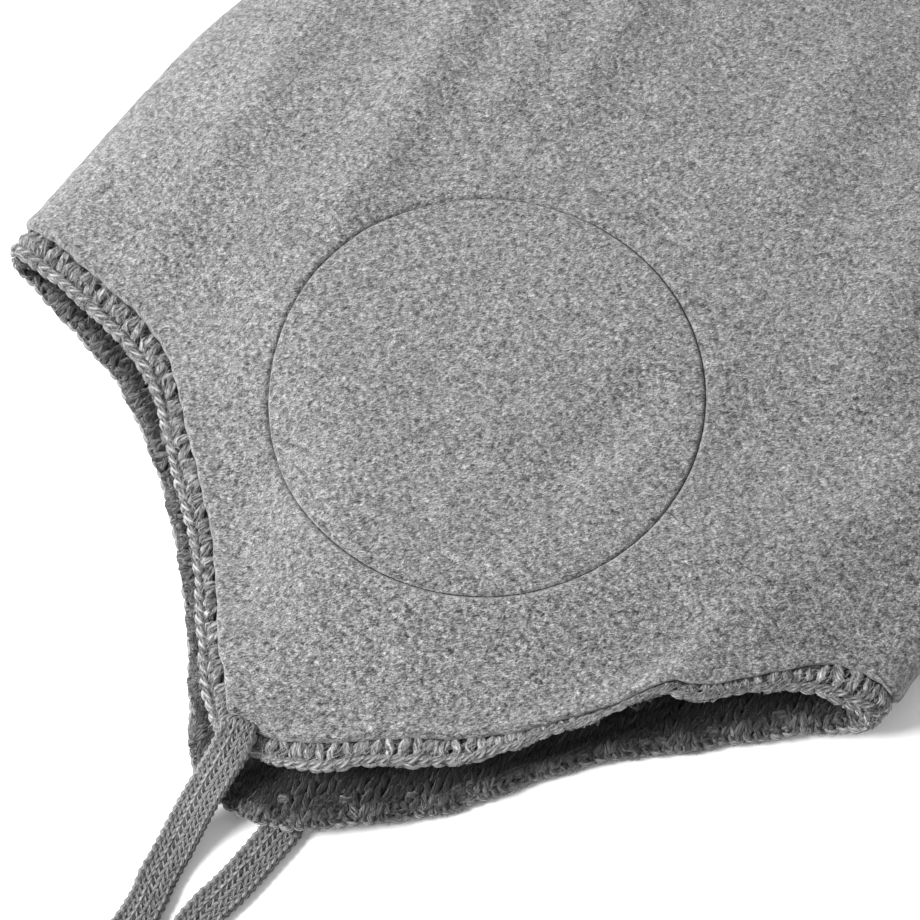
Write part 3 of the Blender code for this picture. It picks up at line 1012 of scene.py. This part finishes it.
class Wrap:
    """The knit's face round the rim: from the fleece's cut edge, over the rim, to the inside."""

    def __init__(self):
        share, near = self.lay_columns()
        half = WALL / 2
        band = hem_rise(share) + SEAM_GAP
        fine = np.linspace(0.0, 1.0, FACE_ROWS)
        inner = INNER_DEPTH * np.broadcast_to(fine, (len(share), FACE_ROWS))
        rises = np.concatenate((half + (band[:, None] - half) * (1 - fine), half + inner), axis=1)
        face = outer_face(share[:, None], rim_up(share, near)[:, None] + rises, near[:, None])
        up_hat = np.gradient(face, axis=1)
        up_hat[:, :FACE_ROWS] *= -1
        out = unit(np.cross(round_steps(face), up_hat))
        up_hat = unit(up_hat)[:, FACE_ROWS - 1]
        self.set_slope(face[:, FACE_ROWS - 1], up_hat)
        self.set_grid(self.over_rim(face, out, up_hat))

    def lay_columns(self):
        """Even places round the rim, four a wale: shares of the half width, and which are near."""
        share, near = all_round(RIM_SAMPLES)
        rim = outer_face(share, rim_up(share, near), near)
        steps = np.linalg.norm(np.roll(rim, -1, axis=0) - rim, axis=1)
        reach = np.concatenate(([0.0], np.cumsum(steps)))
        self.ring = reach[-1]
        self.wales = 2 * round(self.ring / WALE / 2)
        self.columns = 4 * self.wales
        wanted = np.arange(self.columns) / self.columns * self.ring
        k = np.searchsorted(reach, wanted, side="right") - 1
        part = (wanted - reach[k]) / steps[k]
        share = share[k] + part * (np.roll(share, -1)[k] - share[k])
        return share, near[k] & (k != RIM_SAMPLES - 1)

    def over_rim(self, face, out, up_hat):
        """Lines of the lining's face carried round the rim's edge and back along the inside."""
        half = WALL / 2
        turn = np.linspace(0.0, math.pi, TURN_ROWS + 2)[1:-1]
        last, away = face[:, FACE_ROWS - 1], out[:, FACE_ROWS - 1]
        middle = last - half * away
        bend = np.cos(turn)[:, None] * away[:, None] - np.sin(turn)[:, None] * up_hat[:, None]
        edge = middle[:, None] + half * bend
        inside = face[:, FACE_ROWS:] - WALL * out[:, FACE_ROWS:]
        return np.concatenate((face[:, :FACE_ROWS], edge, inside), axis=1)

    def set_slope(self, rim, up_hat):
        """How far the rim runs out of square with the hat, evened out round it."""
        slope = (unit(round_steps(rim)) * up_hat).sum(axis=1)
        width = max(1, round(SQUARE_SMOOTH / self.ring * self.columns))
        window = np.ones(2 * width + 1) / (2 * width + 1)
        wrapped = np.concatenate((slope[-width:], slope, slope[:width]))
        self.slope = np.convolve(wrapped, window, mode="valid")
        self.stretch = 1 / np.sqrt(1 - self.slope ** 2)

    def set_grid(self, line):
        """Evenly spaced points along the lines, and the distances to the rim and to their ends."""
        steps = np.linalg.norm(np.diff(line, axis=1), axis=2)
        reach = np.concatenate((np.zeros((len(line), 1)), np.cumsum(steps, axis=1)), axis=1)
        self.total = reach[:, -1]
        self.edge = reach[:, FACE_ROWS + TURN_ROWS // 2 - 1]
        self.grid = np.empty((len(line), WRAP_ROWS, 3))
        for j in range(len(line)):
            self.grid[j] = along_line(line[j], reach[j], np.linspace(0.0, reach[j, -1], WRAP_ROWS))
        self.normal = unit(np.cross(np.gradient(self.grid, axis=1), round_steps(self.grid)))

    def between(self, w):
        """The columns on both sides of distances round the rim, and the share of the way over."""
        place = np.mod(w / self.ring, 1.0) * self.columns
        low = np.floor(place).astype(int) % self.columns
        return low, (low + 1) % self.columns, place - np.floor(place)

    def column(self, table, w):
        """A column table's values at distances round the rim."""
        low, high, part = self.between(w)
        return table[low] * (1 - part) + table[high] * part

    def rim_at(self, w):
        """Distance from the fleece's edge to the rim, at distances round it."""
        return self.column(self.edge, w)

    def square(self, w, v):
        """Distance round the rim that sets a wale square to it, for stitches away from the rim."""
        away = np.abs(v - self.rim_at(w))
        return w - SQUARE_REACH * np.tanh(away / SQUARE_REACH) * self.column(self.slope, w)

    def at(self, w, v, lift):
        """Point and facing at a distance round the rim and from the fleece's edge."""
        low, high, part = self.between(w)
        part = part[:, None]
        row = np.clip(v / self.column(self.total, w), 0.0, 1.0) * (WRAP_ROWS - 1)
        r = np.minimum(row.astype(int), WRAP_ROWS - 2)
        f = (row - r)[:, None]

        def mix(table):
            left = table[low, r] * (1 - f) + table[low, r + 1] * f
            right = table[high, r] * (1 - f) + table[high, r + 1] * f
            return left * (1 - part) + right * part

        facing = unit(mix(self.normal))
        return mix(self.grid) + facing * np.asarray(lift)[:, None], facing


def pattern_shift(w, v, above):
    """How the openwork pulls the stitches off its eyelets, and lifts, sinks and tucks them."""
    phase = 2 * math.pi * w / PATTERN_REPEAT
    along = SWAY * np.sin(phase + v / SWAY_RUN)
    across = np.zeros_like(w)
    lift = BUNCH_SWELL * np.cos(phase + BUNCH_BEND * np.sin(v / BUNCH_RUN))
    for row, height in enumerate(EYELET_ROWS):
        shift = 0.5 * (row % 2)
        nearest = np.round(w / PATTERN_REPEAT - shift) + shift
        dw, dv = w - nearest * PATTERN_REPEAT, above - height
        away = np.hypot(dw, dv)
        pull = np.exp(-(away / EYELET_REACH) ** 2)
        along += EYELET_PULL * pull * dw / np.maximum(away, 1e-5)
        across += EYELET_PULL * pull * dv / np.maximum(away, 1e-5)
        lift -= EYELET_SINK * pull
    lift -= EDGE_TUCK * np.exp(-(np.maximum(v, 0.0) / EDGE_TUCK_REACH) ** 2)
    return along, across, lift


def knit_course(wrap, count, place, height, yarn, lean, rng):
    """One closed row of stitches. place gives its distance from the fleece's edge."""
    turn = np.arange(count * STITCH_SAMPLES) * 2 * math.pi / STITCH_SAMPLES
    jitter = rng.normal(0.0, 1.0, (4, count)).repeat(STITCH_SAMPLES, axis=1)
    wale = turn / (2 * math.pi) + lean * np.sin(2 * turn)
    w = wale * (wrap.ring / count) + PLACE_JITTER * jitter[0]
    reach = height(w)
    swing = reach * STITCH_REACH * (1 + REACH_JITTER * jitter[3]) * np.cos(turn)
    v = place(w) + swing + PLACE_JITTER * jitter[1]
    along, across, swell = pattern_shift(w, v, v - wrap.rim_at(w))
    lift = -yarn - STITCH_DEPTH * (1 + np.cos(2 * turn)) + LIFT_JITTER * jitter[2] + swell
    path, facing = wrap.at(wrap.square(w + along, v), v + across, lift)
    spindle = 1 - SPINDLE * np.cos(turn) ** 2
    thick = yarn * np.clip(reach / FULL_REACH, LEAST_YARN, 1.0) * (1 + YARN_JITTER * jitter[3]) * spindle
    return tube(path, facing, thick, YARN_SIDES, True)


def chain_edge(wrap, yarn, rng):
    """The cast-off chain along the rim's outer edge: two rows of slanted legs, link after link."""
    links = []
    count = round(wrap.ring / CHAIN_PITCH)
    side = np.linspace(-1.0, 1.0, CHAIN_SAMPLES)
    along = np.abs(side)
    for i in range(count):
        jitter = rng.normal(0.0, 1.0, 4)
        w0 = i * wrap.ring / count
        scale = np.clip(wrap.rim_at(w0) / CHAIN_BAND, CHAIN_LEAST, 1.0)
        w = w0 + CHAIN_LENGTH * along + CHAIN_JITTER * jitter[0]
        half = CHAIN_HALF * scale * (1 + CHAIN_HALF_JITTER * jitter[1])
        v = wrap.rim_at(w) - CHAIN_INSET * scale + half * np.sign(side) * along ** CHAIN_CURVE
        lift = -yarn - CHAIN_SINK * (2 * along - 1) ** 2 + CHAIN_JITTER * jitter[2]
        path, facing = wrap.at(wrap.square(w, v), v, lift)
        taper = CHAIN_END + (1 - CHAIN_END) * np.sin(math.pi * along)
        whole = yarn * (CHAIN_END + (1 - CHAIN_END) * scale) * (1 + CHAIN_YARN_JITTER * jitter[3])
        links.append(tube(path, facing, whole * taper, YARN_SIDES, False))
    return links


def fibre_lines(wrap, count, start, stop, rng):
    """Start, middle and end of short bent fibres lying on the stitches, and how each faces."""
    w0 = rng.uniform(0.0, wrap.ring, count)
    v0 = start(w0) + rng.uniform(0.0, 1.0, count) * (stop(w0) - start(w0))
    length = rng.uniform(*FIBRE_LENGTH, count)
    heading = rng.normal(0.0, FIBRE_STRAY, count)
    bend = rng.normal(0.0, FIBRE_BEND, count)
    rise = rng.uniform(*FIBRE_RISE, count)
    lines = []
    for step in (-0.5, 0.0, 0.5):
        aside = bend * (1 - 4 * step * step)
        w = w0 + np.sin(heading) * length * step + np.cos(heading) * aside
        v = v0 + np.cos(heading) * length * step - np.sin(heading) * aside
        swell = pattern_shift(w, v, v - wrap.rim_at(w))[2]
        lines.append(wrap.at(w, v, swell + rise - 4 * FIBRE_TUCK * step * step))
    return lines


def make_fibres(name, wrap, count, start, stop, yarn, rng):
    """Loose fibres on the knit, each a thin three-sided hair with fine ends."""
    lines = fibre_lines(wrap, count, start, stop, rng)
    along = unit(lines[2][0] - lines[0][0])
    rings = []
    for (middle, facing), size in zip(lines, (FIBRE_END, 1.0, FIBRE_END)):
        side = unit(np.cross(along, facing))
        for turn in (0.0, 2 * math.pi / 3, 4 * math.pi / 3):
            rings.append(middle + FIBRE_RADIUS * size * (math.cos(turn) * side + math.sin(turn) * facing))
    points = np.stack(rings, axis=1).reshape(-1, 3)
    ring = np.array([(j, (j + 1) % 3, (j + 1) % 3 + 3, j + 3) for j in range(3)])
    quads = np.arange(count)[:, None, None] * 9 + np.concatenate((ring, ring + 3))
    shade = rng.uniform(0.0, FIBRE_SHADES, count)[:, None, None] + np.array((0.0, 0.0, 0.4, 0.4))
    shade = np.repeat(shade, 6, axis=1)
    uvs = np.stack((shade, np.full(shade.shape, 0.5)), axis=-1).reshape(-1, 2)
    fibres = make_piece(name, points, quads.reshape(-1, 4).tolist(), [yarn], uvs)
    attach(fibres, "root")


def backing(wrap, start, stop, rows):
    """Plain sheet behind the stitches, between two distances from the fleece's edge."""
    count = wrap.wales * 2
    w = np.arange(count) / count * wrap.ring
    first, last, sink = start(w), stop(w), np.full(count, -BACKING_DEPTH)
    lines = [wrap.at(w, first + s * (last - first), sink)[0] for s in np.linspace(0.0, 1.0, rows)]
    points = np.stack(lines).reshape(-1, 3)
    quads = grid_faces(rows, count, True)
    columns = np.tile(np.arange(count) / 2, rows)
    row = np.repeat(np.arange(rows), count)
    return points, quads, np.stack((columns[quads], row[quads]), axis=-1).reshape(-1, 2)


def inside_sheet(wrap):
    """The knit's inner face from under the stitches up to the crown."""
    share, near = all_round(INSIDE_COLUMNS // 2 + 1)
    start = rim_up(share, near) + WALL / 2 + INNER_DEPTH - INSIDE_OVERLAP
    rows = np.sin(np.linspace(0.0, math.pi / 2, INSIDE_ROWS))
    up = start[:, None] + (CROWN_REACH * INSIDE_TOP - start[:, None]) * rows
    points = outer_face(share[:, None], up, near[:, None]).reshape(-1, 3)
    count = len(share)
    quads = ray_quads(np.arange(count * INSIDE_ROWS).reshape(count, INSIDE_ROWS))
    rise = np.minimum(1.0, (up - start[:, None]) / INSIDE_OVERLAP).ravel()
    depth = WALL + INSIDE_SINK - INSIDE_LIFT * rise
    points = points + mesh_normals(points, quads) * depth[:, None]
    wale = np.repeat(np.arange(count) * wrap.wales / count, INSIDE_ROWS)
    course = (up / COURSE).ravel()
    uvs = np.stack((wale[quads], course[quads]), axis=-1)
    wrapped = quads[:, 2:] < quads[:, :1]
    uvs[:, 2:, 0] += np.where(wrapped, wrap.wales, 0.0)
    return points, quads, uvs.reshape(-1, 2)


def make_knit(yarns, sheet):
    """The knit edge and the inner knit, from the stitches and the sheets behind them. The inner courses,
    their fibres and the backing take darker copies of the yarn, and the inside sheet a near-black grey,
    as painted shade.
    """
    edge_look, inner_shaded_look, deep_shaded_look, sheet_shaded_look = range(4)
    wrap = Wrap()
    edge = wrap.rim_at
    rng = np.random.default_rng(SEED)

    def tall(w):
        return COURSE * wrap.column(wrap.stretch, w)

    def rim_course(number):
        return knit_course(wrap, wrap.wales, lambda w: edge(w) + RIM_STEP + number * tall(w), tall,
                           YARN_RADIUS, STITCH_LEAN, rng)

    band_course = knit_course(wrap, round(wrap.ring / BAND_WALE), lambda w: BAND_PLACE * edge(w),
                              lambda w: BAND_REACH * edge(w), BAND_YARN, BAND_LEAN, rng)
    band = [(band_course, edge_look)]
    band += [(link, edge_look) for link in chain_edge(wrap, CHAIN_YARN, rng)]
    # Painted shade: the first course inside the rim takes the darker inner copy of the yarn
    band.append((rim_course(0), inner_shaded_look))
    # Painted shade: a near-black sheet behind the stitches, in the darkest copy of the yarn
    behind = backing(wrap, np.zeros_like, lambda w: edge(w) + BAND_BACKING, BAND_BACKING_ROWS)
    band.append((behind, deep_shaded_look))
    # Painted shade: deeper courses take the darkest copy of the yarn
    rest = [(rim_course(number), inner_shaded_look if number < DEEP_SHADE_COURSE else deep_shaded_look)
            for number in range(1, INNER_COURSES + 1)]
    # Painted shade: a near-black sheet behind the inner stitches, in the darkest copy of the yarn
    behind = backing(wrap, lambda w: edge(w) + INNER_BACKING, lambda w: wrap.column(wrap.total, w),
                     INNER_BACKING_ROWS)
    rest.append((behind, deep_shaded_look))
    # Painted shade: the inside sheet is nearly black
    rest.append((inside_sheet(wrap), sheet_shaded_look))
    for name, parts, node in (("edge_knit", band, "knit_hem"), ("inner_knit", rest, "knit_shell")):
        points, quads, uvs, choice = join_parts(parts)
        piece = make_piece(name, points, quads.tolist(), [*yarns, sheet], uvs, choice)
        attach(piece, "root")
        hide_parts(node)
    make_fibres("edge_fibres", wrap, BAND_FIBRES, lambda w: BAND_FIBRE_START * edge(w),
                lambda w: edge(w) - BAND_FIBRE_INSET, yarns[edge_look], rng)
    start, stop = INNER_FIBRE_PLACE
    make_fibres("inner_fibres", wrap, INNER_FIBRES, lambda w: edge(w) + start, lambda w: edge(w) + stop,
                yarns[inner_shaded_look], rng)


set_camera()
rng = np.random.default_rng(SEED + 1)
tie_yarn = yarn_material("tie_yarn")
make_tie("tie_upper_cord", UPPER_TIE_ROUTE, ROOT_DIP, tie_yarn, rng)
make_tie("tie_lower_cord", LOWER_TIE_ROUTE, 0.0, tie_yarn, rng)
fleece = fleece_material("fleece_pile")
make_lining(fleece)
make_patch("upper", fleece, *UPPER_PATCH)
make_patch("lower", fleece, *LOWER_PATCH)
knit_yarns = [yarn_material(name) for name in ("knit_yarn", "knit_yarn_inner_painted_shade", "knit_yarn_deep_painted_shade")]
make_knit(knit_yarns, knit_sheet_material("knit_inside_painted_shade"))
make_floor()
set_light()
